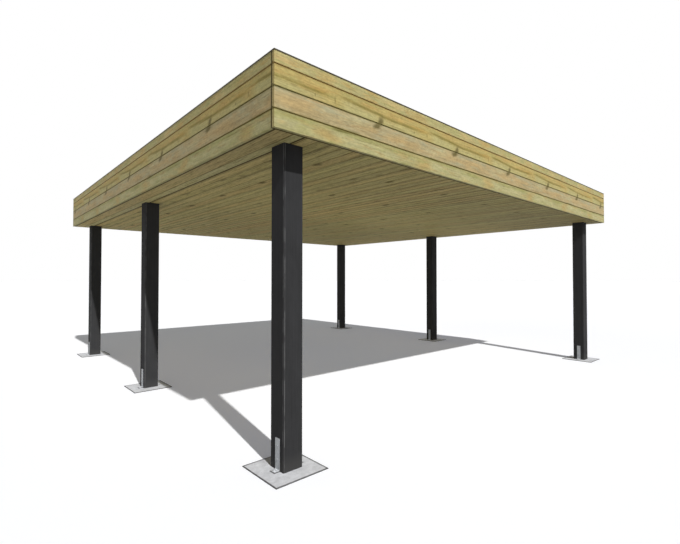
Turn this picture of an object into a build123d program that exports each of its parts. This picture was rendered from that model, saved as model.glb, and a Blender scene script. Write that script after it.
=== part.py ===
from build123d import *
import math
import os

# An open carport: six painted timber posts on concrete pads carry a flat boxed roof.
# Millimetres, +Z up. The origin is on the ground under the middle of the roof,
# +X runs along the front to the right and the front looks towards -Y.

# Roof, measured over the cladding
roof_length = 6000
roof_depth = 6000
clear_height = 2096
fascia_height = 451

# Concrete pads
pad_size = 400
pad_setback = 62
pad_height = 6
pad_chamfer = 2

# Posts
post_size = 150
post_setback = 187
post_side_setback = 198
post_edge_radius = 8

# Angle brackets at the foot of each post
bracket_width = 46
bracket_thickness = 5
bracket_height = 206
bracket_foot = 35
bracket_bend_radius = 5
bracket_corner_radius = 4
bracket_stagger = 11
screw_hole_diameter = 11
lower_screw_height = 70
upper_screw_height = 160
anchor_hole_diameter = 13
anchor_hole_inset = 16

# Rebated cladding boards of the fascia
board_thickness = 22
board_cover = 130
bottom_board_cover = 112
top_board_least = 40
board_lap = 12
lap_clearance = 1.5
shadow_gap = 3
lip_bevel = 2
face_easing = 1.5
corner_gap = 5

# Soffit boards
soffit_thickness = 20
soffit_border = 242
soffit_outer_board = 157
border_gap = 6
soffit_board_cover = 104
groove_width = 6
groove_depth = 3
fitting_gap = 2
butt_gap = 4

# Timber frame inside the roof
frame_depth = 220
beam_width = 115
joist_width = 45
joist_spacing = 600
rim_thickness = 45

# Roof covering
deck_thickness = 18
membrane_thickness = 3
trim_thickness = 2
trim_drop = 6
trim_overhang = 10
trim_mitre_gap = 1.5

# Levels and places that follow from the sizes above
soffit_top = clear_height + soffit_thickness
frame_top = soffit_top + frame_depth
deck_top = frame_top + deck_thickness
roof_top = clear_height + fascia_height
pad_x = roof_length / 2 - pad_setback - pad_size / 2
pad_y = roof_depth / 2 - pad_setback - pad_size / 2
post_x = roof_length / 2 - post_side_setback - post_size / 2
post_y = roof_depth / 2 - post_setback - post_size / 2
cladding_back_x = roof_length / 2 - board_thickness
cladding_back_y = roof_depth / 2 - board_thickness
rim_inside_x = cladding_back_x - rim_thickness
rim_inside_y = cladding_back_y - rim_thickness
border_line = roof_length / 2 - soffit_border

rows = {"left": -post_x, "right": post_x}
places = {"front": -post_y, "middle": 0, "back": post_y}
pad_rows = {"left": -pad_x, "right": pad_x}
pad_places = {"front": -pad_y, "middle": 0, "back": pad_y}

# Each side of the roof: its turn about Z, the reach of its weather face and the run of its boards
side_board_run = 2 * (cladding_back_y - corner_gap)
sides = {
    "front": (0, roof_depth / 2, roof_length),
    "right": (90, roof_length / 2, side_board_run),
    "back": (180, roof_depth / 2, roof_length),
    "left": (270, roof_length / 2, side_board_run),
}


def block(low, high):
    """A plain block between two corners."""
    size = [b - a for a, b in zip(low, high)]
    middle = [(a + b) / 2 for a, b in zip(low, high)]
    return Pos(*middle) * Box(*size)


def pad():
    """Concrete pad with a chamfered upper edge, its underside on the ground."""
    slab = block((-pad_size / 2, -pad_size / 2, 0), (pad_size / 2, pad_size / 2, pad_height))
    return chamfer(slab.faces().sort_by(Axis.Z)[-1].edges(), pad_chamfer)


def post():
    """Square post from its pad up to the underside of the beam, with eased arrises."""
    low = (-post_size / 2, -post_size / 2, pad_height)
    high = (post_size / 2, post_size / 2, soffit_top)
    blank = block(low, high)
    return fillet(blank.edges().filter_by(Axis.Z), post_edge_radius)


def bracket():
    """Angle bracket bent from flat bar, standing against the +X face of a post at the origin."""
    face_x = post_size / 2
    outer_x = face_x + bracket_thickness
    foot_x = outer_x + bracket_foot
    top_z = pad_height + bracket_height
    foot_top = pad_height + bracket_thickness
    outline = Polyline(
        (face_x, 0, pad_height),
        (foot_x, 0, pad_height),
        (foot_x, 0, foot_top),
        (outer_x, 0, foot_top),
        (outer_x, 0, top_z),
        (face_x, 0, top_z),
        close=True,
    )
    bar = extrude(make_face(outline), amount=bracket_width / 2, dir=(0, 1, 0), both=True)

    across = bar.edges().filter_by(Axis.Y)
    heel = across.sort_by_distance((face_x, 0, pad_height))[0]
    bar = fillet(heel, bracket_bend_radius + bracket_thickness)
    across = bar.edges().filter_by(Axis.Y)
    bend = across.sort_by_distance((outer_x, 0, foot_top))[0]
    bar = fillet(bend, bracket_bend_radius)

    top_corners = bar.faces().sort_by(Axis.Z)[-1].edges().filter_by(Axis.X)
    toe_corners = bar.faces().sort_by(Axis.X)[-1].edges().filter_by(Axis.Z)
    bar = fillet(top_corners + toe_corners, bracket_corner_radius)

    through = bracket_foot
    screw_hole = Rot(0, 90, 0) * Cylinder(screw_hole_diameter / 2, through)
    for height in (lower_screw_height, upper_screw_height):
        bar -= Pos(face_x, 0, pad_height + height) * screw_hole
    anchor_hole = Cylinder(anchor_hole_diameter / 2, through)
    bar -= Pos(foot_x - anchor_hole_inset, 0, pad_height) * anchor_hole
    return bar


def brackets(row):
    """A bracket on each side of the post, the outer one nearer the front so that the screws miss."""
    right = bracket()
    left = Rot(0, 0, 180) * right
    nearer = Pos(0, -bracket_stagger, 0)
    if row == "left":
        return [nearer * left, right]
    return [left, nearer * right]


def cladding_lips():
    """Heights of the lower edges of the fascia boards; the top board is ripped to what is left."""
    lips = [0]
    following = bottom_board_cover
    while fascia_height - following > top_board_least:
        lips.append(following)
        following += board_cover
    return lips


def cladding_profile(lip, face_top, rebated, tongued):
    """Outline of a rebated board: distance out from its back, and height above the soffit."""
    lip_back = board_thickness / 2
    tongue = lip_back - lap_clearance
    tongue_top = face_top + shadow_gap + board_lap - lap_clearance
    rebate_top = lip + board_lap
    points = [(board_thickness - lip_bevel, lip), (board_thickness, lip + lip_bevel)]
    if tongued:
        points += [(board_thickness, face_top - face_easing), (board_thickness - face_easing, face_top)]
        points += [(tongue, face_top), (tongue, tongue_top), (0, tongue_top)]
    else:
        points += [(board_thickness, face_top), (0, face_top)]
    if rebated:
        points += [(0, rebate_top), (lip_back, rebate_top), (lip_back, lip)]
    else:
        points += [(0, lip)]
    return points


def fascia_boards(side):
    """The boards of one side from the bottom up; each laps over the tongue of the one below."""
    turn, reach, run = sides[side]
    back = reach - board_thickness
    lips = cladding_lips()
    face_tops = [lip - shadow_gap for lip in lips[1:]] + [fascia_height]
    boards = []
    for lip, face_top in zip(lips, face_tops):
        profile = cladding_profile(lip, face_top, lip > 0, face_top < fascia_height)
        points = [(0, -back - out, clear_height + up) for out, up in profile]
        section = make_face(Polyline(*points, close=True))
        board = extrude(section, amount=run / 2, dir=(1, 0, 0), both=True)
        boards.append(Rot(0, 0, turn) * board)
    return boards


def groove(x, half_run):
    """Cutter for the V-joint between two soffit boards that meet at x."""
    points = [
        (x - groove_width / 2, 0, clear_height),
        (x + groove_width / 2, 0, clear_height),
        (x, 0, clear_height + groove_depth),
    ]
    return extrude(make_face(Polyline(*points, close=True)), amount=half_run, dir=(0, 1, 0), both=True)


def soffit_panel(low_x, high_x, joints):
    """Boards nailed up under the frame between two lines, cut out round the posts."""
    half_run = cladding_back_y - butt_gap
    panel = block((low_x, -half_run, clear_height), (high_x, half_run, soffit_top))
    hole = post_size / 2 + fitting_gap
    cutter = block((-hole, -hole, clear_height), (hole, hole, soffit_top))
    cutter = fillet(cutter.edges().filter_by(Axis.Z), post_edge_radius + fitting_gap)
    for x in rows.values():
        for y in places.values():
            panel -= Pos(x, y, 0) * cutter
    for x in joints:
        panel -= groove(x, half_run)
    return panel


def soffit_field():
    """The boards between the two border strips, all of one width near the cover."""
    edge = border_line - border_gap / 2
    count = round(2 * edge / soffit_board_cover)
    pitch = 2 * edge / count
    joints = [-edge + pitch * number for number in range(1, count)]
    return soffit_panel(-edge, edge, joints)


def soffit_strip(hand):
    """The border strip along the left (-1) or right (+1) side: a broad outer board and a narrow one."""
    outer = hand * (cladding_back_x - butt_gap)
    inner = hand * (border_line + border_gap / 2)
    joint = hand * (roof_length / 2 - soffit_outer_board)
    return soffit_panel(min(outer, inner), max(outer, inner), [joint])


def beam(x):
    """Beam along a row of posts, from the front rim to the back rim."""
    low = (x - beam_width / 2, -rim_inside_y, soffit_top)
    high = (x + beam_width / 2, rim_inside_y, frame_top)
    return block(low, high)


def joists():
    """Joists between the two beams, evenly spaced between the front and back rims."""
    bays = math.ceil(2 * rim_inside_y / joist_spacing)
    pitch = 2 * rim_inside_y / bays
    end_x = post_x - beam_width / 2
    solids = []
    for number in range(1, bays):
        y = -rim_inside_y + pitch * number
        low = (-end_x, y - joist_width / 2, soffit_top)
        high = (end_x, y + joist_width / 2, frame_top)
        solids.append(block(low, high))
    return solids


def end_rims():
    """Rim boards behind the front and back cladding, over the whole length."""
    low = (-cladding_back_x, -cladding_back_y, soffit_top)
    high = (cladding_back_x, -rim_inside_y, roof_top)
    front = block(low, high)
    return [front, Rot(0, 0, 180) * front]


def side_rims():
    """Rim boards behind the side cladding, between the front and back ones."""
    low = (-cladding_back_x, -rim_inside_y, soffit_top)
    high = (-rim_inside_x, rim_inside_y, roof_top)
    left = block(low, high)
    return [left, Rot(0, 0, 180) * left]


def deck():
    """Sheet deck on the beams and joists, with a gap to the rims all round."""
    x = rim_inside_x - fitting_gap
    y = rim_inside_y - fitting_gap
    return block((-x, -y, frame_top), (x, y, deck_top))


def membrane():
    """Roofing sheet over the deck, turned up against the inside of the rims."""
    x = rim_inside_x
    y = rim_inside_y
    inside_x = x - membrane_thickness
    inside_y = y - membrane_thickness
    floor_top = deck_top + membrane_thickness
    outside = block((-x, -y, deck_top), (x, y, roof_top))
    return outside - block((-inside_x, -inside_y, floor_top), (inside_x, inside_y, roof_top))


def mitred_strip(half_run, reach, width, low, high):
    """Flat strip along the front edge with its ends cut to 45 degrees."""
    points = [
        (-half_run, -reach, low),
        (half_run, -reach, low),
        (half_run - width, width - reach, low),
        (width - half_run, width - reach, low),
    ]
    return extrude(make_face(Polyline(*points, close=True)), amount=high - low, dir=(0, 0, 1))


def edge_trim():
    """Metal trim over the fascia and rims: a flange on top and a drip leg down the weather face."""
    flange = trim_thickness + board_thickness + rim_thickness + membrane_thickness + trim_overhang
    lengths = {"front": roof_length, "right": roof_depth, "back": roof_length, "left": roof_depth}
    solids = []
    for side, length in lengths.items():
        turn, face_reach, _ = sides[side]
        reach = face_reach + trim_thickness
        half_run = length / 2 + trim_thickness - trim_mitre_gap / 2
        strip = mitred_strip(half_run, reach, flange, roof_top, roof_top + trim_thickness)
        strip += mitred_strip(half_run, reach, trim_thickness, roof_top - trim_drop, roof_top)
        solids.append(Rot(0, 0, turn) * strip)
    return solids


def save(node, *solids):
    """Write the solids of one node to its own file."""
    shape = solids[0] if len(solids) == 1 else Compound(list(solids))
    export_step(shape, os.path.join("parts", node + ".step"))


def main():
    os.makedirs("parts", exist_ok=True)
    for row, x in rows.items():
        for place, y in places.items():
            spot = Pos(x, y, 0)
            pad_spot = Pos(pad_rows[row], pad_places[place], 0)
            save(f"pad_{row}_{place}", pad_spot * pad())
            save(f"post_{row}_{place}", spot * post())
            save(f"brackets_{row}_{place}", *[spot * one for one in brackets(row)])
    for side in sides:
        for number, board in enumerate(fascia_boards(side), start=1):
            save(f"fascia_{side}_board_{number}", board)
    save("soffit_field", soffit_field())
    save("soffit_strip_left", soffit_strip(-1))
    save("soffit_strip_right", soffit_strip(1))
    for row, x in rows.items():
        save(f"beam_{row}", beam(x))
    save("joists", *joists())
    save("end_rims", *end_rims())
    save("side_rims", *side_rims())
    save("roof_deck", deck())
    save("roof_membrane", membrane())
    save("edge_trim", *edge_trim())


main()
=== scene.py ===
import math

import bmesh
import bpy
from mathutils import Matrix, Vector


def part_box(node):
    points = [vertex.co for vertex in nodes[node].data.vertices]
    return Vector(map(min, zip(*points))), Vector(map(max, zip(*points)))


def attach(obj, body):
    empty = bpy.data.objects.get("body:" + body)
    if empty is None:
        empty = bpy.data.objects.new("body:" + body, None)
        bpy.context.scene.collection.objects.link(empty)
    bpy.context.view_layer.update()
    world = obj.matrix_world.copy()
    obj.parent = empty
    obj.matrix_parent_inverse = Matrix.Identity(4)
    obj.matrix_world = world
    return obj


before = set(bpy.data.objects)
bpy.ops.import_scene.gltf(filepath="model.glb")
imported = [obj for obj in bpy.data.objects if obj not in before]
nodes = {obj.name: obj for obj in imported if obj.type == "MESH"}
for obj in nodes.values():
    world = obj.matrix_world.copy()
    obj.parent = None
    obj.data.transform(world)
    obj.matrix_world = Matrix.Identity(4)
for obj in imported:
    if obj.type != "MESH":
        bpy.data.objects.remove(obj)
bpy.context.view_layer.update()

# Metres, in the frame of the CAD model: the origin on the ground under the middle of the roof,
# +X along the front to the right, the front towards -Y.

# Camera, in the photograph's frame
IMAGE_WIDTH = 680
FOCAL_PIXELS = 413.05
SENSOR_WIDTH = 36.0
EYE = (-4.2887, -4.9882, 1.2247)
YAW = math.radians(42.088)
PITCH = math.radians(1.027)

# Light: one soft sun from the front and a little from the left, and a pale sky that is brightest low down,
# so that as much of it reaches the ground under the roof as in the open. The sky's light fades out from the
# bottom height to the top one, each the sine of an angle above the horizon.
SUN_TRAVEL = (0.192, 1.020, -1.0)
SUN_STRENGTH = 3.4
SUN_SPREAD = math.radians(1.0)
SKY_LIGHT = 0.60
SKY_TOP = 0.66
SKY_BOTTOM = 0.46
WHITE = (1.0, 1.0, 1.0, 1.0)
FLOOR_HALF = 300.0
FLOOR_BOUNCE = 0.42
# Fill that keeps the floor's shadow an even grey: less under the middle of the roof, where the soffit's
# bounce warms it, and more behind the roof. Each pair of distances is where a change starts and where it
# ends.
FLOOR_FILL = {
    "side": (0.066, 0.075, 0.107, 1.0),
    "middle": (0.018, 0.036, 0.086, 1.0),
    "back": (0.100, 0.106, 0.116, 1.0),
}
FILL_WIDTH = (2.8, 0.2)
FILL_FRONT = (-1.0, -0.8)
FILL_BACK = (0.3, 4.8)

# Sizes of the CAD model that the patterns follow
ROOF_HALF = 3.0
BOARD_THICKNESS = 0.022
BOARD_TONGUE = 0.0135
CORNER_JOINT = 0.027
SOFFIT_COVER = 0.104
SOFFIT_EDGE = 2.974
STRIP_JOINT = 2.843
BORDER_JOINT = 2.758
BORDER_LINE = 2.738
POST_RADIUS = 0.008
BRACKET_THICKNESS = 0.005
BRACKET_STAGGER = 0.011
SCREW_HEIGHTS = (0.070, 0.160)
ANCHOR_INSET = 0.016

# Depths of the reliefs that the materials' bumps stand for
WOOD_RELIEF = 0.0009
SAWN_RELIEF = 0.0010
PAINT_RELIEF = 0.0006
ZINC_RELIEF = 0.0004
CONCRETE_RELIEF = 0.0010
SHEET_RELIEF = 0.0022
TRIM_RELIEF = 0.0002

TAU = 2 * math.pi
ROWS = ("left", "right")
PLACES = ("front", "middle", "back")
SIDES = ("front", "right", "back", "left")
COURSES = (1, 2, 3, 4)


def srgb(red, green, blue):
    """Linear colour of an sRGB one given in 0 to 255."""
    def line(value):
        share = value / 255
        return share / 12.92 if share <= 0.04045 else ((share + 0.055) / 1.055) ** 2.4
    return (line(red), line(green), line(blue), 1.0)


class Wire:
    """An output of a node tree that takes part in arithmetic, so that a pattern reads as a formula."""

    def __init__(self, net, socket):
        self.net = net
        self.socket = socket

    def __add__(self, other):
        return self.net.math("ADD", self, other)

    def __sub__(self, other):
        return self.net.math("SUBTRACT", self, other)

    def __rsub__(self, other):
        return self.net.math("SUBTRACT", other, self)

    def __mul__(self, other):
        return self.net.math("MULTIPLY", self, other)

    def __truediv__(self, other):
        return self.net.math("DIVIDE", self, other)

    def __abs__(self):
        return self.net.math("ABSOLUTE", self)

    __radd__ = __add__
    __rmul__ = __mul__


class Net:
    """The node tree of one material. Each method adds a node and gives its output."""

    def __init__(self, name):
        self.material = bpy.data.materials.new(name)
        self.material.use_nodes = True
        self.tree = self.material.node_tree
        self.tree.nodes.clear()

    def add(self, kind, inputs=(), **settings):
        node = self.tree.nodes.new(kind)
        for name, value in settings.items():
            setattr(node, name, value)
        for key, value in dict(inputs).items():
            self.join(value, node.inputs[key])
        return node

    def join(self, value, socket):
        if isinstance(value, Wire):
            self.tree.links.new(value.socket, socket)
        else:
            socket.default_value = value

    def math(self, operation, *values):
        node = self.add("ShaderNodeMath", enumerate(values), operation=operation)
        return Wire(self, node.outputs[0])

    def place(self):
        """The three object coordinates, which are the CAD frame's metres."""
        point = self.add("ShaderNodeTexCoord").outputs["Object"]
        split = self.add("ShaderNodeSeparateXYZ", {0: Wire(self, point)})
        return [Wire(self, out) for out in split.outputs]

    def vector(self, x, y, z):
        node = self.add("ShaderNodeCombineXYZ", {0: x, 1: y, 2: z})
        return Wire(self, node.outputs[0])

    def noise(self, x, y, z, detail=2.0, roughness=0.5):
        """Smooth noise of mean 0.5 at the given coordinates."""
        inputs = {"Vector": self.vector(x, y, z), "Scale": 1.0, "Detail": detail, "Roughness": roughness}
        return Wire(self, self.add("ShaderNodeTexNoise", inputs).outputs["Fac"])

    def dice(self, x, y, z):
        """Three random numbers that change at whole steps of the coordinates."""
        node = self.add("ShaderNodeTexWhiteNoise", {"Vector": self.vector(x, y, z)})
        split = self.add("ShaderNodeSeparateColor", {0: Wire(self, node.outputs["Color"])})
        return [Wire(self, out) for out in split.outputs]

    def cells(self, x, y, z):
        """Distance to the nearest of scattered points, and a random number for its cell."""
        node = self.add("ShaderNodeTexVoronoi", {"Vector": self.vector(x, y, z), "Scale": 1.0})
        split = self.add("ShaderNodeSeparateColor", {0: Wire(self, node.outputs["Color"])})
        return Wire(self, node.outputs["Distance"]), Wire(self, split.outputs[0])

    def ease(self, value, start, end):
        """Smooth step of 0 at start to 1 at end; start may be the greater."""
        inputs = {"Value": value, "From Min": start, "From Max": end}
        node = self.add("ShaderNodeMapRange", inputs, interpolation_type="SMOOTHSTEP")
        return Wire(self, node.outputs["Result"])

    def blend(self, factor, first, second, mode="MIX"):
        """Colour mix of two colours."""
        node = self.add("ShaderNodeMix", data_type="RGBA", blend_type=mode)
        self.join(factor, node.inputs["Factor"])
        colours = [socket for socket in node.inputs if socket.type == "RGBA"]
        self.join(first, colours[0])
        self.join(second, colours[1])
        return Wire(self, next(out for out in node.outputs if out.type == "RGBA"))

    def shade(self, colour, factor):
        """The colour times a number."""
        grey = self.add("ShaderNodeCombineColor", {0: factor, 1: factor, 2: factor})
        return self.blend(1.0, colour, Wire(self, grey.outputs[0]), "MULTIPLY")

    def bump(self, height, depth):
        """Normal of a relief whose height of 1 stands for the depth in metres."""
        node = self.add("ShaderNodeBump", {"Height": height, "Distance": depth, "Strength": 1.0})
        return Wire(self, node.outputs["Normal"])

    def finish(self, colour, roughness, normal, **constants):
        """Principled surface from the patterns; constants go on the shader's own sockets."""
        inputs = {"Base Color": colour, "Roughness": roughness, "Normal": normal}
        inputs.update({name.replace("_", " "): value for name, value in constants.items()})
        shader = self.add("ShaderNodeBsdfPrincipled", inputs)
        output = self.add("ShaderNodeOutputMaterial")
        self.tree.links.new(shader.outputs[0], output.inputs["Surface"])
        return self.material


WOOD_GLOSS = {"Specular_IOR_Level": 0.20}
RING_PITCH = 0.019
KNOT_TONE = srgb(92, 82, 40)
EDGE_TONE = srgb(110, 95, 42)
JOINT_EDGES = {1: srgb(104, 92, 34), 2: srgb(102, 94, 46), 3: srgb(124, 99, 45), 4: EDGE_TONE}
GROOVE_TONE = srgb(84, 72, 28)
JOINT_TONE = srgb(66, 56, 20)
END_GRAIN = srgb(202, 181, 118)


def oval(net, across, along, half_across, half_along, ragged=0.0):
    """Distance from the middle of an oval, 1 at its rim, with an uneven rim."""
    first = across / half_across
    second = along / half_along
    return net.math("SQRT", first * first + second * second) + ragged


def grain(net, u, v, seed):
    """Streaks, growth rings, fibres and short dashes of a flat-sawn board, each about zero."""
    drift = net.noise(u * 0.7, v * 4, seed, detail=1.0) - 0.5
    rings = net.math("SINE", (v + drift * 0.10) * (TAU / RING_PITCH))
    streaks = net.noise(u * 2.2, v * 90, seed + 11, detail=4.0, roughness=0.6) - 0.5
    fibres = net.noise(u * 22, v * 1100, seed + 23) - 0.5
    dashes = net.noise(u * 13, v * 150, seed + 37, detail=2.0) - 0.5
    return rings, streaks, fibres, dashes


def flecks(net, u, v, seed):
    """Fine mottling of the sawn fibres, about zero."""
    small = net.noise(u * 42, v * 85, seed + 61, detail=2.0, roughness=0.6) - 0.5
    large = net.noise(u * 13, v * 42, seed + 67, detail=2.0) - 0.5
    return small * 0.7 + large * 0.4


# The fascia's pattern: places along the run repeat with the period, and heights are above each board's lower
# edge. A wash is its place, height, half length, half height, tone and strength.
PERIOD = 0.989
# Painted shade: the front fascia is made darker than the other three sides, a light level painted in
SIDE_PAINTED_SHADE = {"front": 0.855, "right": 0.90, "back": 0.90, "left": 0.90}
PATTERN_START = {"front": (1, 0.0), "right": (-1, 0.31), "back": (1, 0.53), "left": (-1, 0.755)}
ORANGE = srgb(187, 156, 92)
RICH_ORANGE = srgb(184, 148, 72)
PINK = srgb(187, 161, 112)
PEACH = srgb(191, 161, 106)
LIGHT_PEACH = srgb(208, 180, 120)
TAN = srgb(164, 143, 96)
PALE = srgb(190, 183, 136)
GREY_GREEN = srgb(172, 167, 132)
GREEN = srgb(166, 162, 102)
DEEP_GREEN = srgb(150, 148, 84)
MOSS = srgb(98, 96, 32)
FASCIA = {
    1: {
        "ground": srgb(176, 169, 119),
        "grain": srgb(144, 132, 80),
        "warm": srgb(181, 160, 104),
        "cool": GREEN,
        "washes": (
            (0.42, 0.048, 0.10, 0.060, ORANGE, 0.65),
            (0.62, 0.055, 0.13, 0.045, PALE, 0.70),
            (0.16, 0.086, 0.18, 0.024, DEEP_GREEN, 0.75),
            (0.06, 0.044, 0.14, 0.032, PALE, 0.65),
            (0.76, 0.096, 0.22, 0.014, DEEP_GREEN, 0.60),
            (0.86, 0.044, 0.12, 0.034, PALE, 0.65),
            (0.57, 0.110, 0.12, 0.009, MOSS, 0.80),
        ),
    },
    2: {
        "ground": srgb(181, 165, 122),
        "grain": srgb(150, 131, 86),
        "warm": PINK,
        "cool": GREY_GREEN,
        "washes": (
            (0.39, 0.098, 0.07, 0.022, GREY_GREEN, 0.85),
            (0.68, 0.104, 0.10, 0.022, PALE, 0.45),
            (0.62, 0.070, 0.12, 0.034, PALE, 0.45),
            (0.57, 0.004, 0.10, 0.009, MOSS, 0.70),
            (0.15, 0.106, 0.17, 0.022, GREY_GREEN, 0.70),
            (0.14, 0.058, 0.18, 0.034, PEACH, 0.60),
            (0.80, 0.062, 0.14, 0.034, PEACH, 0.50),
            (0.24, 0.030, 0.14, 0.026, TAN, 0.55),
        ),
    },
    3: {
        "ground": srgb(186, 167, 103),
        "grain": srgb(144, 124, 64),
        "warm": ORANGE,
        "cool": srgb(178, 167, 104),
        "washes": (
            (0.36, 0.068, 0.11, 0.020, RICH_ORANGE, 0.65),
            (0.18, 0.085, 0.14, 0.030, ORANGE, 0.45),
            (0.80, 0.100, 0.10, 0.024, ORANGE, 0.40),
            (0.58, 0.105, 0.12, 0.022, GREEN, 0.35),
        ),
    },
    4: {
        "ground": srgb(184, 174, 121),
        "grain": srgb(152, 139, 86),
        "warm": ORANGE,
        "cool": GREEN,
        "washes": (
            (0.36, 0.035, 0.10, 0.035, ORANGE, 0.60),
            (0.84, 0.050, 0.10, 0.030, GREEN, 0.60),
            (0.04, 0.034, 0.11, 0.030, LIGHT_PEACH, 0.65),
            (0.58, 0.052, 0.12, 0.030, GREEN, 0.35),
        ),
    },
}
# How far the washes sway along and up, and how far knots bend and ticks fray
WASH_SWAY = (0.30, 0.06)
KNOT_BEND = 0.03
TICK_FRAY = 0.010
# The streaked board, the third from below: where a streak starts, its lower height, how much higher it
# starts, how far it wanders and frays, the half widths of the streak and of its core, and the band over which
# the paler strip below it fades in
STREAKED_COURSE = 3
STRIP_TONE = srgb(184, 178, 124)
STREAK_TONE = srgb(120, 110, 46)
STREAK_START = 0.469
STREAK_LOW = 0.058
STREAK_RISE = 0.023
STREAK_WANDER = 0.014
STREAK_FRAY = 0.014
STREAK_HALF_WIDTH = 0.019
STREAK_CORE = 0.001
STRIP_FADE = (0.012, -0.032)
# The knots that a joint cuts, and the ticks of the streaked board: place, height, half length and half height
JOINT_KNOTS = {
    2: {"place": 0.868, "from_top": 0.019, "half_along": 0.042, "half_up": 0.025, "slant": 1.0},
    3: {"place": 0.898, "from_foot": 0.012, "half_along": 0.028, "half_up": 0.046, "slant": 0.4},
}
TICKS = ((0.300, 0.032, 0.008, 0.014), (0.465, 0.045, 0.006, 0.022))
# Dark lines along a board's edges, each from where it starts to where it is full
UPPER_LINE = (0.0090, 0.0015)
LOWER_LINE = (0.0085, 0.0020)
END_FACE = (0.0014, 0.0004)
END_ARRIS = (0.0080, 0.0035)
CORNER_LINE = (0.011, 0.003)
BACK_SHADE = (0.006, 0.002)
LINE_FRAY = 0.004


def repeated(net, value, start, period=PERIOD):
    """Offset from the nearest of the places that repeat with the period."""
    return net.math("WRAP", value - start, -period / 2, period / 2)


def streaked_board(net, colour, w, v, streaks, seed):
    """The board with a paler lower strip under a soft dark streak that falls along each repeat."""
    share = net.math("WRAP", w - STREAK_START, 0.0, PERIOD) / PERIOD
    rise = net.ease(share, 0.55, 0.05)
    begun = net.ease(share, 0.0, 0.13)
    wander = (net.noise(w * 5.0, 0.0, seed + 3, detail=3.0) - 0.5) * STREAK_WANDER
    above = v - (rise * STREAK_RISE + STREAK_LOW) - wander + streaks * STREAK_FRAY
    pale = net.ease(share, 0.44, 0.32) * 0.15 + net.ease(share, 1.0, 0.78) * 0.45 + 0.10
    colour = net.blend(net.ease(above, *STRIP_FADE) * pale * begun, colour, STRIP_TONE)
    strength = begun * (net.ease(share, 1.0, 0.80) * 0.56 + 0.16)
    broken = net.noise(w * 7.0, v * 20, seed + 5, detail=2.0) * 1.2 + 0.4
    streak = net.ease(abs(above), STREAK_HALF_WIDTH, STREAK_CORE)
    return net.blend(streak * strength * broken, colour, STREAK_TONE)


def joint_knot(net, colour, course, w, v, face, seed):
    """Smudge of the knots that the joint between the second and third boards cuts."""
    knot = JOINT_KNOTS[course]
    middle = face - knot["from_top"] if "from_top" in knot else knot["from_foot"]
    across = v - middle
    bend = (net.noise(w * 1.1, 0.0, seed + 2) - 0.5) * KNOT_BEND
    along = repeated(net, w + bend - across * knot["slant"], knot["place"])
    ragged = net.noise(w * 30, v * 34, seed + 9, detail=3.0) - 0.5
    blot = oval(net, across, along, knot["half_up"], knot["half_along"], ragged)
    return net.blend(net.ease(blot, 1.45, 0.30) * 0.88, colour, KNOT_TONE)


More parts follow.
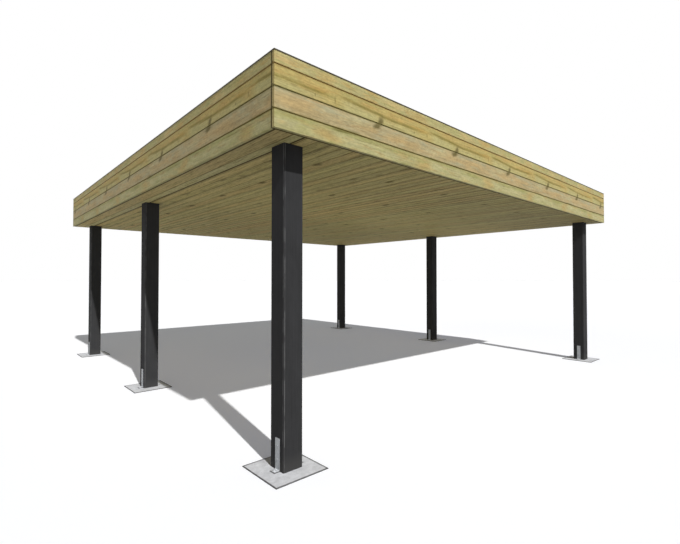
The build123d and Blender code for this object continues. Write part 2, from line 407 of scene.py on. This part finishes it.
def fascia_pine(side, course):
    """Planed treated pine of one fascia board; u runs from the near end, v up from its lower edge."""
    low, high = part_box(f"fascia_{side}_board_{course}")
    seed = SIDES.index(side) * 40 + course * 7.3
    look = FASCIA[course]
    net = Net(f"treated_pine_{side}_{course}")
    x, y, z = net.place()
    along, outward = (x, y) if side in ("front", "back") else (y, x)
    u = along + ROOF_HALF
    v = z - low.z
    inset = ROOF_HALF - abs(outward)
    from_corner = ROOF_HALF - abs(along)
    face = high.z - low.z - (BOARD_TONGUE if course < COURSES[-1] else 0)
    sign, start = PATTERN_START[side]
    w = u * sign + start

    rings, streaks, fibres, dashes = grain(net, u, v, seed)
    colour = look["ground"]
    sway = net.noise(u * 3.0, v * 14, seed + 31, detail=3.0) - 0.5
    for place, height, half_length, half_height, tone, strength in look["washes"]:
        offset = repeated(net, w + sway * WASH_SWAY[0], place)
        reach = oval(net, v + sway * WASH_SWAY[1] - height, offset, half_height, half_length)
        colour = net.blend(net.ease(reach, 1.5, 0.1) * strength, colour, tone)
    patches = net.noise(u * 5.5, v * 30, seed + 53, detail=3.0, roughness=0.6) + rings * 0.02
    colour = net.blend(net.ease(patches, 0.50, 0.68) * 0.70, colour, look["warm"])
    colour = net.blend(net.ease(patches, 0.47, 0.30) * 0.70, colour, look["cool"])
    if course == STREAKED_COURSE:
        colour = streaked_board(net, colour, w, v, streaks, seed)

    depth = streaks * 1.3 + rings * 0.08 + fibres * 0.5 + dashes * 0.9
    colour = net.blend(net.ease(depth, 0.06, 0.75), colour, look["grain"])
    mottle = flecks(net, u, v, seed)
    texture = fibres * 0.25 + streaks * 0.45 + dashes * 0.34 + mottle * 0.90
    # The side's painted shade darkens the front boards, together with the grain's texture
    colour = net.shade(colour, (1.0 - texture) * SIDE_PAINTED_SHADE[side])
    if course in JOINT_KNOTS:
        colour = joint_knot(net, colour, course, w, v, face, seed)
    if course == STREAKED_COURSE:
        for place, middle, half_along, half_up in TICKS:
            offset = repeated(net, w, place) + (net.noise(u * 9, v * 30, seed) - 0.5) * TICK_FRAY
            tick = oval(net, v - middle, offset, half_up, half_along)
            colour = net.blend(net.ease(tick, 1.2, 0.2) * 0.55, colour, KNOT_TONE)

    if side in ("front", "back"):
        speckle = net.noise(y * 700, z * 160, seed, detail=2.0)
        end_tone = net.shade(END_GRAIN, speckle * 0.4 + 0.8)
        end_face = net.ease(from_corner, *END_FACE)
        colour = net.blend(end_face * 0.45, colour, end_tone)
        colour = net.blend(end_face * net.ease(inset, *END_ARRIS) * 0.50, colour, EDGE_TONE)
    frayed = v + streaks * LINE_FRAY
    upper_line = net.ease(frayed, face - UPPER_LINE[0], face - UPPER_LINE[1])
    colour = net.blend(upper_line * 0.82, colour, JOINT_EDGES[course])
    if course > 1:
        colour = net.blend(net.ease(frayed, *LOWER_LINE) * 0.82, colour, JOINT_EDGES[course - 1])
    if side not in ("front", "back"):
        corner_line = net.ease(from_corner, CORNER_JOINT + CORNER_LINE[0], CORNER_JOINT + CORNER_LINE[1])
        colour = net.blend(corner_line * 0.9, colour, JOINT_TONE)
    back_shade = net.ease(inset, BOARD_THICKNESS - BACK_SHADE[0], BOARD_THICKNESS - BACK_SHADE[1])
    colour = net.blend(back_shade * 0.8, colour, JOINT_TONE)

    relief = fibres * 0.6 + streaks * 0.8 + rings * 0.12 - net.ease(dashes, 0.1, 0.3) * 0.3
    return net.finish(colour, streaks * 0.3 + 0.68, net.bump(relief, WOOD_RELIEF), **WOOD_GLOSS)


SOFFIT_TONES = {
    "ground": srgb(187, 173, 113),
    "grain": srgb(132, 115, 62),
    "brown": srgb(188, 165, 110),
    "green": srgb(182, 174, 117),
}
STRIP_TONES = {"outer": srgb(188, 168, 117), "inner": srgb(185, 177, 128)}
SOFFIT_REPEAT = (0.8325, 0.787)
SOFFIT_START = (-2.755, -2.950)
SOFFIT_BEND = 0.02
# Bands of the repeat: middle, half width and how much darker
SOFFIT_BANDS = (
    (0.005, 0.022, 0.17),
    (0.115, 0.032, 0.14),
    (0.205, 0.032, 0.28),
    (0.535, 0.022, 0.28),
    (0.740, 0.024, 0.26),
    (0.275, 0.042, -0.20),
    (0.050, 0.030, -0.12),
    (0.588, 0.032, -0.15),
    (0.470, 0.030, -0.10),
    (0.785, 0.034, -0.10),
)
# Knots of the repeat: middle in X and in Y, half width, half length and strength
SOFFIT_KNOTS = (
    (0.430, 0.393, 0.024, 0.044, 0.88),
    (0.120, 0.536, 0.018, 0.048, 0.55),
    (0.105, 0.604, 0.012, 0.026, 0.35),
    (0.182, 0.292, 0.024, 0.036, 0.42),
    (0.640, 0.406, 0.014, 0.026, 0.35),
)
# Where the painted light and shade on the boards change over the roof: along Y to the front and the back,
# and along X to the sides
SHADE_FRONT = (-0.4, -2.6)
SHADE_BACK = (-0.4, 2.6)
SHADE_RIGHT = (0.0, ROOF_HALF)
SHADE_FRONT_RIGHT = (-1.8, 0.6)
SHADE_LEFT = (-1.0, -2.4)
# Lines of the joints, each from where it starts to where it is full
BOARD_LINE = (0.0070, 0.0015)
BORDER_SHADE = (0.0130, 0.0045)
STRIP_LINE = (0.0085, 0.0020)
FIELD_LINE = (0.0070, 0.0020)


def soffit_pine():
    """Planed treated pine of the soffit boards, which run from front to back; each board has its own tone,
    and painted light and shade make them darker towards the front and the sides and lighter towards the back.
    """
    low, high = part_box("soffit_field")
    field = high.x - low.x
    pitch = field / round(field / SOFFIT_COVER)
    net = Net("soffit_pine")
    x, y, _ = net.place()
    out = abs(x)
    inside = net.math("LESS_THAN", out, BORDER_JOINT)
    from_field = (x - low.x) / pitch
    from_strip = net.math("GREATER_THAN", out, STRIP_JOINT) + net.math("SIGN", x) * 5 + 90
    board = net.math("FLOOR", from_strip + (from_field - from_strip) * inside)
    v = (from_field - net.math("FLOOR", from_field)) * pitch
    first, second, third = net.dice(board, 3.0, 1.0)
    u = y + first * 37

    rings, streaks, fibres, dashes = grain(net, u, v + second * 9, 2.0)
    patches = net.noise(u * 1.6, board * 5.7, 3.0, detail=3.0)
    patches = patches + net.noise(u * 5, v * 40, board, detail=2.0) * 0.6
    brown = net.ease(second + patches, 0.85, 1.5) * 0.65
    colour = net.blend(brown, SOFFIT_TONES["ground"], SOFFIT_TONES["brown"])
    green = net.ease(third - patches, 0.05, -0.6) * 0.55
    colour = net.blend(green, colour, SOFFIT_TONES["green"])
    strip = (1.0 - inside) * (net.ease(patches, 0.45, 1.05) * 0.7 + 0.3)
    outer = net.math("GREATER_THAN", out, STRIP_JOINT)
    colour = net.blend(strip * outer, colour, STRIP_TONES["outer"])
    colour = net.blend(strip * (1.0 - outer), colour, STRIP_TONES["inner"])
    depth = streaks * 2.5 + rings * 0.10 + fibres * 0.5 + dashes * 1.3
    colour = net.blend(net.ease(depth, 0.06, 0.60), colour, SOFFIT_TONES["grain"])
    # Painted light and shade: darker towards the front and the sides, lighter towards the back
    front = net.ease(y, *SHADE_FRONT)
    painted_light_level = net.ease(y, *SHADE_BACK) * 0.24 - front * 0.42 - net.ease(x, *SHADE_RIGHT) * 0.06 + 1.32
    painted_light_level = painted_light_level - front * net.ease(x, *SHADE_FRONT_RIGHT) * 0.17
    painted_light_level = painted_light_level - (1.0 - front) * net.ease(x, *SHADE_LEFT) * 0.13
    bend = (net.noise(y * 1.3, x * 3, 9.0) - 0.5) * SOFFIT_BEND
    band = 0.0
    for middle, half_width, darker in SOFFIT_BANDS:
        offset = repeated(net, x + bend, SOFFIT_START[0] + middle, SOFFIT_REPEAT[0])
        band = band + net.ease(abs(offset), half_width, 0.0) * darker
    worn = fibres * 0.25 + streaks * 1.05 + dashes * 0.70 + flecks(net, u, v, 4.0) * 0.9
    # The painted light level scales the colour, together with the grain's texture and the bands
    colour = net.shade(colour, (first - 0.5) * 0.10 + painted_light_level - worn - band * inside)

    ragged = (net.noise(x * 40, y * 18, 3.0) - 0.5) * 0.8
    for middle_x, middle_y, half_width, half_length, strength in SOFFIT_KNOTS:
        across = repeated(net, x, SOFFIT_START[0] + middle_x, SOFFIT_REPEAT[0])
        along = repeated(net, y, SOFFIT_START[1] + middle_y, SOFFIT_REPEAT[1])
        knot = oval(net, across, along, half_width, half_length, ragged)
        colour = net.blend(net.ease(knot, 1.7, 0.4) * inside * strength, colour, KNOT_TONE)

    groove = net.math("MINIMUM", v, pitch - v) + (1.0 - inside)
    groove = net.math("MINIMUM", groove, abs(out - STRIP_JOINT))
    border = net.math("MINIMUM", abs(out - BORDER_JOINT), abs(out - SOFFIT_EDGE))
    border = net.math("MINIMUM", border, abs(abs(y) - SOFFIT_EDGE))
    colour = net.blend(net.ease(groove, *BOARD_LINE) * 0.38, colour, GROOVE_TONE)
    colour = net.blend(net.ease(border, *BORDER_SHADE) * 0.92, colour, JOINT_TONE)
    colour = net.blend(net.ease(abs(out - STRIP_JOINT), *STRIP_LINE) * 0.40, colour, GROOVE_TONE)
    colour = net.blend(net.ease(abs(out - BORDER_LINE), *FIELD_LINE) * 0.50, colour, GROOVE_TONE)
    relief = fibres * 0.6 + streaks * 0.8 + rings * 0.12
    return net.finish(colour, streaks * 0.3 + 0.70, net.bump(relief, WOOD_RELIEF), Specular_IOR_Level=0.10)


TIMBER = (srgb(205, 176, 128), srgb(168, 130, 82))
PLYWOOD = (srgb(206, 170, 118), srgb(178, 138, 88))
SAW_PITCH = 0.006


def plain_timber(name, along, light, dark):
    """Sawn timber inside the roof, with the grain along one axis."""
    net = Net(name)
    axes = dict(zip("xyz", net.place()))
    u = axes.pop(along)
    v, w = axes.values()
    rings, streaks, fibres, dashes = grain(net, u, v + w * 0.7, 8.0)
    colour = net.blend(net.ease(streaks * 1.6 + rings * 0.15, -0.35, 0.5), light, dark)
    saw = net.math("SINE", (u + w * 0.3) * (TAU / SAW_PITCH))
    relief = fibres + streaks + dashes * 0.5 + saw * 0.12
    return net.finish(colour, streaks * 0.2 + 0.8, net.bump(relief, SAWN_RELIEF), **WOOD_GLOSS)


PAINT = srgb(52, 52, 53)
PAINT_HIGHLIGHT_AND_WEAR = srgb(104, 104, 104)
PAINT_SPLASHED = srgb(74, 73, 71)
# The arris's painted highlight, partly wear: its band from where it starts to where it is full, and along X
# from where it is gone to where it is full, on the left row
ARRIS_HIGHLIGHT = (0.0030, 0.0008)
ARRIS_HIGHLIGHT_SIDE = (1.0, -1.0)
SPLASH_HEIGHTS = (0.12, 0.02)
SPLASH_FRAY = 0.12
# Painted light on the posts: along Y, where it grows towards the middle posts and again towards the back ones
LIT_POSTS_MIDDLE = (-1.6, -0.6)
LIT_POSTS_BACK = (0.5, 2.6)


def painted_post():
    """Black matt paint on planed timber: grain along the post, a duller foot, a painted highlight on the
    front arris that is partly wear, and painted light that makes the inner faces and the middle and back
    posts paler."""
    low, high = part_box("post_left_front")
    centre = (low + high) / 2
    half = (high.x - low.x) / 2
    net = Net("painted_post")
    x, y, z = net.place()
    offset_x = x + net.math("SIGN", x) * centre.x
    offset_y = net.math("WRAP", y, centre.y / 2, -centre.y / 2)
    rim = abs(abs(offset_x) + abs(offset_y) - 2 * half + POST_RADIUS)
    # Painted highlight, partly wear: the arris is made paler, most on the front-left arris of the left row
    front_left = net.math("LESS_THAN", offset_x, 0.0) * net.math("LESS_THAN", offset_y, 0.0)
    arris_light_share = front_left * net.ease(x, *ARRIS_HIGHLIGHT_SIDE) * 0.8 + 0.2
    arris = net.ease(rim, *ARRIS_HIGHLIGHT) * arris_light_share

    sway = (net.noise(x * 3, y * 3, z * 0.8) - 0.5) * 0.6
    streaks = net.noise(x * 70 + sway, y * 70 + sway, z * 1.1, detail=4.0, roughness=0.62) - 0.5
    fibres = net.noise(x * 420, y * 420, z * 6.0, detail=2.0) - 0.5
    mottle = net.noise(x * 9, y * 9, z * 4.5, detail=4.0, roughness=0.65) - 0.5
    worn = net.ease(net.noise(x * 30, y * 30, z * 10, detail=3.0), 0.40, 0.58)
    # Painted light: the inner faces and the middle and back posts are made paler
    inner = net.ease(abs(x) + centre.x, -half + POST_RADIUS, -half)
    painted_post_light = inner * 0.28 + net.ease(y, *LIT_POSTS_MIDDLE) * 0.22 + net.ease(y, *LIT_POSTS_BACK) * 0.10
    colour = net.shade(PAINT, 1.0 + streaks * 0.55 + mottle * 0.55 + fibres * 0.22 + painted_post_light)
    # The painted highlight, broken up by the wear noise, lightens the arris
    colour = net.blend(arris * (worn * 0.70 + 0.22), colour, PAINT_HIGHLIGHT_AND_WEAR)
    splash = net.ease(z + mottle * SPLASH_FRAY, *SPLASH_HEIGHTS) * 0.35
    colour = net.blend(splash, colour, PAINT_SPLASHED)
    relief = streaks + fibres * 0.5
    rough = streaks * 0.2 + mottle * 0.1 + 0.80
    return net.finish(colour, rough, net.bump(relief, PAINT_RELIEF), Specular_IOR_Level=0.045)


ZINC = srgb(164, 167, 170)
# Tone of the painted highlight on the foot
ZINC_FOOT_HIGHLIGHT = srgb(218, 220, 223)
# Tone of the foot's darker edges
ZINC_DARK_EDGE = srgb(70, 69, 67)
# Heights above the pad where the foot's painted highlight ends and where it is full
FOOT_HIGHLIGHT_HEIGHTS = (0.018, 0.006)
# Depths below the foot's top where its darker edges start and where they are full
TOE_DARK_EDGE = (0.0005, 0.0015)


def galvanised_steel():
    """Hot-dip zinc: dull crystals of uneven grey under a faint cloud, with a painted highlight that makes the
    foot and the strap's lowest part paler, and a darker band on the foot's edges below its top."""
    pad_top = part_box("pad_left_front")[1].z
    net = Net("galvanised_steel")
    x, y, z = net.place()
    _, tone = net.cells(x * 85, y * 85, z * 85)
    _, small_tone = net.cells(x * 210, y * 210, z * 210)
    cloud = net.noise(x * 22, y * 22, z * 22, detail=4.0) - 0.5
    crystals = (tone - 0.5) * 0.22 + (small_tone - 0.5) * 0.10
    colour = net.shade(ZINC, 1.0 + crystals + cloud * 0.35)
    # Painted highlight: the foot and the strap's lowest part are made paler
    foot_highlight = net.ease(z, pad_top + FOOT_HIGHLIGHT_HEIGHTS[0], pad_top + FOOT_HIGHLIGHT_HEIGHTS[1])
    colour = net.blend(foot_highlight * 0.9, colour, ZINC_FOOT_HIGHLIGHT)
    foot_top = pad_top + BRACKET_THICKNESS
    # The foot's edges, below its top, are made darker
    dark_edge = net.ease(z, foot_top - TOE_DARK_EDGE[0], foot_top - TOE_DARK_EDGE[1])
    colour = net.blend(dark_edge * 0.85, colour, ZINC_DARK_EDGE)
    drips = net.noise(x * 60, y * 60, z * 9, detail=2.0) - 0.5
    relief = crystals * 0.6 + cloud * 0.5 + drips * 0.4
    rough = 0.44 + crystals * 0.35 + cloud * 0.25
    normal = net.bump(relief, ZINC_RELIEF)
    return net.finish(colour, rough, normal, Metallic=0.35, Specular_IOR_Level=0.4)


CONCRETE = srgb(208, 209, 212)
CONCRETE_PIT = srgb(118, 117, 114)
# Tone of the dark line round the pads' edges and of the darker ring round the brackets' feet; then the widths
# from where each starts to where it is full, and how far it frays
EDGE_LINE_TONE = srgb(72, 71, 70)
EDGE_LINE = (0.0095, 0.0040)
EDGE_LINE_FRAY = 0.004
BACK_EDGE_LINE = (0.0200, 0.0080)
BACK_EDGE_LINE_FRAY = 0.008
FOOT_DARK_RING = (0.0085, 0.0025)
FOOT_FRAY = 0.003
# Painted light on the pads in the roof's shadow: where it starts and is full along Y, and along X
PAD_LIGHT_DEPTH = (-1.6, -0.6)
PAD_LIGHT_SIDE = (-1.0, 1.0)


def concrete():
    """Trowelled concrete: cloudy grey with sand grains, fine pits, a dark line round its edges that is wider
    at the back, and a darker ring round the feet of the brackets. Painted light makes the pads in the
    roof's shadow paler."""
    low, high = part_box("pad_left_front")
    post_low, post_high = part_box("post_left_front")
    toe_low, toe_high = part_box("brackets_left_front")
    centre = (low + high) / 2
    half = (high.x - low.x) / 2
    net = Net("concrete")
    x, y, z = net.place()
    out = abs(x)
    offset_x = x + net.math("SIGN", x) * centre.x
    offset_y = net.math("WRAP", y, centre.y / 2, -centre.y / 2)
    rim = half - net.math("MAXIMUM", abs(offset_x), abs(offset_y))
    back_rim = half - net.math("MAXIMUM", offset_x, offset_y)
    cloud = net.noise(x * 7, y * 7, z * 7, detail=5.0, roughness=0.62) - 0.5
    blotch = net.noise(x * 24, y * 24, z * 24, detail=4.0) - 0.5
    sand = net.noise(x * 420, y * 420, z * 420, detail=1.0) - 0.5
    reach, tone = net.cells(x * 130, y * 130, z * 130)
    pit = net.ease(reach, 0.30, 0.12) * net.math("GREATER_THAN", tone, 0.80)
    sweep = net.noise(x * 5 + y * 60, y * 5 - x * 20, 0.0, detail=2.0) - 0.5
    # Painted light: the pads in the roof's shadow are made paler
    painted_pad_light = net.ease(y, *PAD_LIGHT_DEPTH) * net.ease(x, *PAD_LIGHT_SIDE) * 0.20
    colour = net.shade(CONCRETE, 1.0 + painted_pad_light + cloud * 0.60 + blotch * 0.55 + sand * 0.25 + sweep * 0.15)
    colour = net.blend(pit * 0.5, colour, CONCRETE_PIT)
    # A dark line round the pad's edges, wider along the edges towards the back and towards +X
    edge_line = net.ease(rim + blotch * EDGE_LINE_FRAY, *EDGE_LINE)
    back_edge_line = net.ease(back_rim + blotch * BACK_EDGE_LINE_FRAY, *BACK_EDGE_LINE) * 0.85
    colour = net.blend(net.math("MAXIMUM", edge_line, back_edge_line) * 0.92, colour, EDGE_LINE_TONE)
    # A darker ring on the pad round each bracket's foot
    half_width = (toe_high.y - toe_low.y - BRACKET_STAGGER) / 2
    for toe, face, shift in ((-toe_low.x, -post_low.x, BRACKET_STAGGER), (-toe_high.x, -post_high.x, 0.0)):
        beyond_x = abs(out - (toe + face) / 2) - abs(toe - face) / 2
        beyond_y = abs(offset_y + shift) - half_width
        dark_edge = net.ease(net.math("MAXIMUM", beyond_x, beyond_y) + blotch * FOOT_FRAY, *FOOT_DARK_RING)
        colour = net.blend(dark_edge * 0.80, colour, EDGE_LINE_TONE)
    relief = sand * 0.5 + blotch * 0.5 + sweep * 0.5 - pit * 1.2
    rough = 0.86 + cloud * 0.2
    return net.finish(colour, rough, net.bump(relief, CONCRETE_RELIEF), Specular_IOR_Level=0.25)


SHEET = srgb(64, 65, 67)
SHEET_DUST = srgb(98, 97, 94)
SHEET_PUDDLE = srgb(128, 124, 114)
SHEET_WIDTH = 1.05
SHEET_START = -0.31
LAP_EDGE = 0.044
LAP_STEP = 0.002
LAP_BEAD = (0.005, 0.001)


def roofing_sheet():
    """Dark roofing sheet in strips along the depth: welded laps, dust and dried puddles."""
    net = Net("roofing_sheet")
    x, y, z = net.place()
    lap = abs(repeated(net, x, SHEET_START, SHEET_WIDTH))
    seam = net.ease(lap, LAP_EDGE + LAP_STEP, LAP_EDGE - LAP_STEP)
    bead = net.ease(abs(lap - LAP_EDGE), *LAP_BEAD)
    dust = net.noise(x * 2.6, y * 1.5, z * 1.4, detail=7.0, roughness=0.68)
    grit = net.noise(x * 260, y * 260, z * 260, detail=2.0) - 0.5
    puddle = net.ease(net.noise(x * 0.55 + 4, y * 0.55, 2.0, detail=3.0), 0.53, 0.60)
    ripple = net.noise(x * 4, y * 1.2, z, detail=2.0) - 0.5
    colour = net.blend(net.ease(dust, 0.34, 0.70) * 0.55, SHEET, SHEET_DUST)
    colour = net.blend(puddle * 0.16, colour, SHEET_PUDDLE)
    colour = net.shade(colour, 1.0 + grit * 0.35 - bead * 0.45 + seam * 0.06)
    relief = seam * 1.0 + grit * 0.15 + ripple * 2.0
    rough = 0.72 + grit * 0.2 + puddle * 0.1
    return net.finish(colour, rough, net.bump(relief, SHEET_RELIEF), Specular_IOR_Level=0.3)


TRIM = srgb(60, 54, 36)


def dark_trim():
    """Dark coated sheet metal, with a fine orange-peel coat, dust and streaks."""
    net = Net("dark_trim")
    x, y, z = net.place()
    peel = net.noise(x * 340, y * 340, z * 340, detail=1.0) - 0.5
    dust = net.noise(x * 6, y * 6, z * 30, detail=5.0, roughness=0.6) - 0.5
    streak = net.noise(x * 45, y * 45, z * 5, detail=3.0) - 0.5
    colour = net.shade(TRIM, 1.0 + dust * 0.5 + streak * 0.3)
    rough = 0.5 + dust * 0.3 + peel * 0.1
    return net.finish(colour, rough, net.bump(peel, TRIM_RELIEF), Specular_IOR_Level=0.3)


def dress(node, material):
    """Give a CAD node its material in every slot."""
    mesh = nodes[node].data
    if not mesh.materials:
        mesh.materials.append(material)
    for number in range(len(mesh.materials)):
        mesh.materials[number] = material


zinc = galvanised_steel()
paint = painted_post()
pads = concrete()
for row in ROWS:
    for place in PLACES:
        dress(f"pad_{row}_{place}", pads)
        dress(f"post_{row}_{place}", paint)
        dress(f"brackets_{row}_{place}", zinc)
for side in SIDES:
    for course in COURSES:
        dress(f"fascia_{side}_board_{course}", fascia_pine(side, course))
soffit = soffit_pine()
for node in ("soffit_field", "soffit_strip_left", "soffit_strip_right"):
    dress(node, soffit)
timber_along_x = plain_timber("frame_timber_x", "x", *TIMBER)
timber_along_y = plain_timber("frame_timber_y", "y", *TIMBER)
for node, material in (
    ("beam_left", timber_along_y),
    ("beam_right", timber_along_y),
    ("side_rims", timber_along_y),
    ("end_rims", timber_along_x),
    ("joists", timber_along_x),
    ("roof_deck", plain_timber("plywood", "x", *PLYWOOD)),
    ("roof_membrane", roofing_sheet()),
    ("edge_trim", dark_trim()),
):
    dress(node, material)


# Fixings in the brackets' holes: each is turned from rings of points round its own axis, listed by radius and
# height
SEGMENTS = 36
RECESS_LOBES = 6
RECESS_LOBE_SHARE = 0.16
SHARP_ANGLE = math.radians(35)


def round_ring(radius):
    return [radius] * SEGMENTS


def star_ring(radius):
    """Six-lobed recess of a head."""
    turns = [RECESS_LOBES * TAU * k / SEGMENTS for k in range(SEGMENTS)]
    return [radius * (1 + RECESS_LOBE_SHARE * math.cos(turn)) for turn in turns]


def timber_screw():
    """Washer-head screw: a rolled flange, a low dome and a star recess."""
    return [
        (round_ring(0.0048), -0.004),
        (round_ring(0.0094), 0.0),
        (round_ring(0.0098), 0.0008),
        (round_ring(0.0092), 0.0018),
        (round_ring(0.0075), 0.0030),
        (round_ring(0.0056), 0.0040),
        (star_ring(0.0034), 0.0043),
        (star_ring(0.0030), 0.0018),
        (round_ring(0.0010), 0.0014),
    ]


def anchor():
    """Anchor in the pad: a washer and a low domed head with a star recess."""
    return [
        (round_ring(0.0060), -0.004),
        (round_ring(0.0112), 0.0),
        (round_ring(0.0116), 0.0005),
        (round_ring(0.0114), 0.0016),
        (round_ring(0.0086), 0.0018),
        (round_ring(0.0084), 0.0030),
        (round_ring(0.0070), 0.0042),
        (round_ring(0.0050), 0.0047),
        (star_ring(0.0036), 0.0048),
        (star_ring(0.0032), 0.0020),
        (round_ring(0.0010), 0.0016),
    ]


def turn(mesh, rings, foot, axis):
    """Add one turned fixing, standing on a point along an axis."""
    axis = Vector(axis)
    first = axis.orthogonal().normalized()
    second = axis.cross(first)
    loops = []
    for radii, height in rings:
        loop = []
        for k, radius in enumerate(radii):
            angle = TAU * k / SEGMENTS
            out = first * (radius * math.cos(angle)) + second * (radius * math.sin(angle))
            loop.append(mesh.verts.new(Vector(foot) + axis * height + out))
        loops.append(loop)
    mesh.faces.new(list(reversed(loops[0])))
    mesh.faces.new(loops[-1])
    for lower, upper in zip(loops, loops[1:]):
        for k in range(SEGMENTS):
            after = (k + 1) % SEGMENTS
            mesh.faces.new((lower[k], lower[after], upper[after], upper[k]))


def fixings(row, place):
    """The screws and anchors of the two brackets of one post."""
    post_low, post_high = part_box(f"post_{row}_{place}")
    toe_low, toe_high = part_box(f"brackets_{row}_{place}")
    middle_x = (post_low.x + post_high.x) / 2
    middle_y = (post_low.y + post_high.y) / 2
    pad_top = post_low.z
    mesh = bmesh.new()
    for hand, face_x, toe_x in ((-1, post_low.x, toe_low.x), (1, post_high.x, toe_high.x)):
        outer_x = face_x + hand * BRACKET_THICKNESS
        y = middle_y - (BRACKET_STAGGER if hand * middle_x > 0 else 0)
        for height in SCREW_HEIGHTS:
            turn(mesh, timber_screw(), (outer_x, y, pad_top + height), (hand, 0, 0))
        foot = (toe_x - hand * ANCHOR_INSET, y, pad_top + BRACKET_THICKNESS)
        turn(mesh, anchor(), foot, (0, 0, 1))
    data = bpy.data.meshes.new(f"fixings_{row}_{place}")
    bmesh.ops.recalc_face_normals(mesh, faces=mesh.faces)
    mesh.to_mesh(data)
    mesh.free()
    data.materials.append(zinc)
    data.shade_smooth()
    data.set_sharp_from_angle(angle=SHARP_ANGLE)
    piece = bpy.data.objects.new(f"fixings_{row}_{place}", data)
    bpy.context.scene.collection.objects.link(piece)
    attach(piece, "root")


for row in ROWS:
    for place in PLACES:
        fixings(row, place)


def seen_directly(tree):
    """1 for rays that show the background: from the camera, or through gloss or glass."""
    path = tree.nodes.new("ShaderNodeLightPath")
    shown = path.outputs["Is Camera Ray"]
    for name in ("Is Glossy Ray", "Is Transmission Ray"):
        larger = tree.nodes.new("ShaderNodeMath")
        larger.operation = "MAXIMUM"
        tree.links.new(shown, larger.inputs[0])
        tree.links.new(path.outputs[name], larger.inputs[1])
        shown = larger.outputs[0]
    return shown


def pale_floor():
    """White floor that takes the shadow; its bounce on the object is that of a mid-grey one."""
    net = Net("pale_floor")
    tree = net.tree
    x, y, _ = net.place()
    middle = net.ease(abs(x), *FILL_WIDTH) * net.ease(y, *FILL_FRONT)
    fill = net.blend(middle, FLOOR_FILL["side"], FLOOR_FILL["middle"])
    fill = net.blend(net.ease(y, *FILL_BACK), fill, FLOOR_FILL["back"])
    bounce = net.add("ShaderNodeBsdfDiffuse", {"Color": (FLOOR_BOUNCE, FLOOR_BOUNCE, FLOOR_BOUNCE, 1.0)})
    white = net.add("ShaderNodeBsdfDiffuse", {"Color": WHITE})
    lift = net.add("ShaderNodeEmission", {"Color": fill})
    shown = tree.nodes.new("ShaderNodeAddShader")
    tree.links.new(white.outputs[0], shown.inputs[0])
    tree.links.new(lift.outputs[0], shown.inputs[1])
    choice = tree.nodes.new("ShaderNodeMixShader")
    tree.links.new(seen_directly(tree), choice.inputs[0])
    tree.links.new(bounce.outputs[0], choice.inputs[1])
    tree.links.new(shown.outputs[0], choice.inputs[2])
    output = tree.nodes.new("ShaderNodeOutputMaterial")
    tree.links.new(choice.outputs[0], output.inputs["Surface"])
    return net.material


def stage():
    """Floor, sky, sun and camera."""
    signs = ((-1, -1), (1, -1), (1, 1), (-1, 1))
    corners = [(FLOOR_HALF * x, FLOOR_HALF * y, 0) for x, y in signs]
    data = bpy.data.meshes.new("floor")
    data.from_pydata(corners, [], [(0, 1, 2, 3)])
    data.materials.append(pale_floor())
    floor = bpy.data.objects.new("floor", data)
    bpy.context.scene.collection.objects.link(floor)

    world = bpy.data.worlds.new("sky")
    world.use_nodes = True
    tree = world.node_tree
    tree.nodes.clear()
    direction = tree.nodes.new("ShaderNodeTexCoord")
    split = tree.nodes.new("ShaderNodeSeparateXYZ")
    tree.links.new(direction.outputs["Generated"], split.inputs[0])
    height = tree.nodes.new("ShaderNodeMapRange")
    height.interpolation_type = "SMOOTHSTEP"
    ends = {"From Min": SKY_BOTTOM, "From Max": SKY_TOP, "To Min": SKY_LIGHT, "To Max": 0.0}
    for name, value in ends.items():
        height.inputs[name].default_value = value
    tree.links.new(split.outputs["Z"], height.inputs["Value"])
    light = tree.nodes.new("ShaderNodeBackground")
    tree.links.new(height.outputs["Result"], light.inputs["Strength"])
    light.inputs["Color"].default_value = WHITE
    shown = tree.nodes.new("ShaderNodeBackground")
    shown.inputs["Strength"].default_value = 1.0
    shown.inputs["Color"].default_value = WHITE
    choice = tree.nodes.new("ShaderNodeMixShader")
    tree.links.new(seen_directly(tree), choice.inputs[0])
    tree.links.new(light.outputs[0], choice.inputs[1])
    tree.links.new(shown.outputs[0], choice.inputs[2])
    output = tree.nodes.new("ShaderNodeOutputWorld")
    tree.links.new(choice.outputs[0], output.inputs["Surface"])
    bpy.context.scene.world = world

    lamp = bpy.data.lights.new("sun", "SUN")
    lamp.energy = SUN_STRENGTH
    lamp.angle = SUN_SPREAD
    sun = bpy.data.objects.new("sun", lamp)
    sun.rotation_euler = Vector(SUN_TRAVEL).to_track_quat("-Z", "Y").to_euler()
    bpy.context.scene.collection.objects.link(sun)

    lens = bpy.data.cameras.new("camera")
    lens.sensor_width = SENSOR_WIDTH
    lens.lens = FOCAL_PIXELS / IMAGE_WIDTH * SENSOR_WIDTH
    lens.clip_end = 2 * FLOOR_HALF
    camera = bpy.data.objects.new("camera", lens)
    camera.location = EYE
    camera.rotation_euler = (math.pi / 2 + PITCH, 0.0, -YAW)
    bpy.context.scene.collection.objects.link(camera)
    bpy.context.scene.camera = camera


stage()
bpy.context.scene.view_settings.view_transform = "Standard"
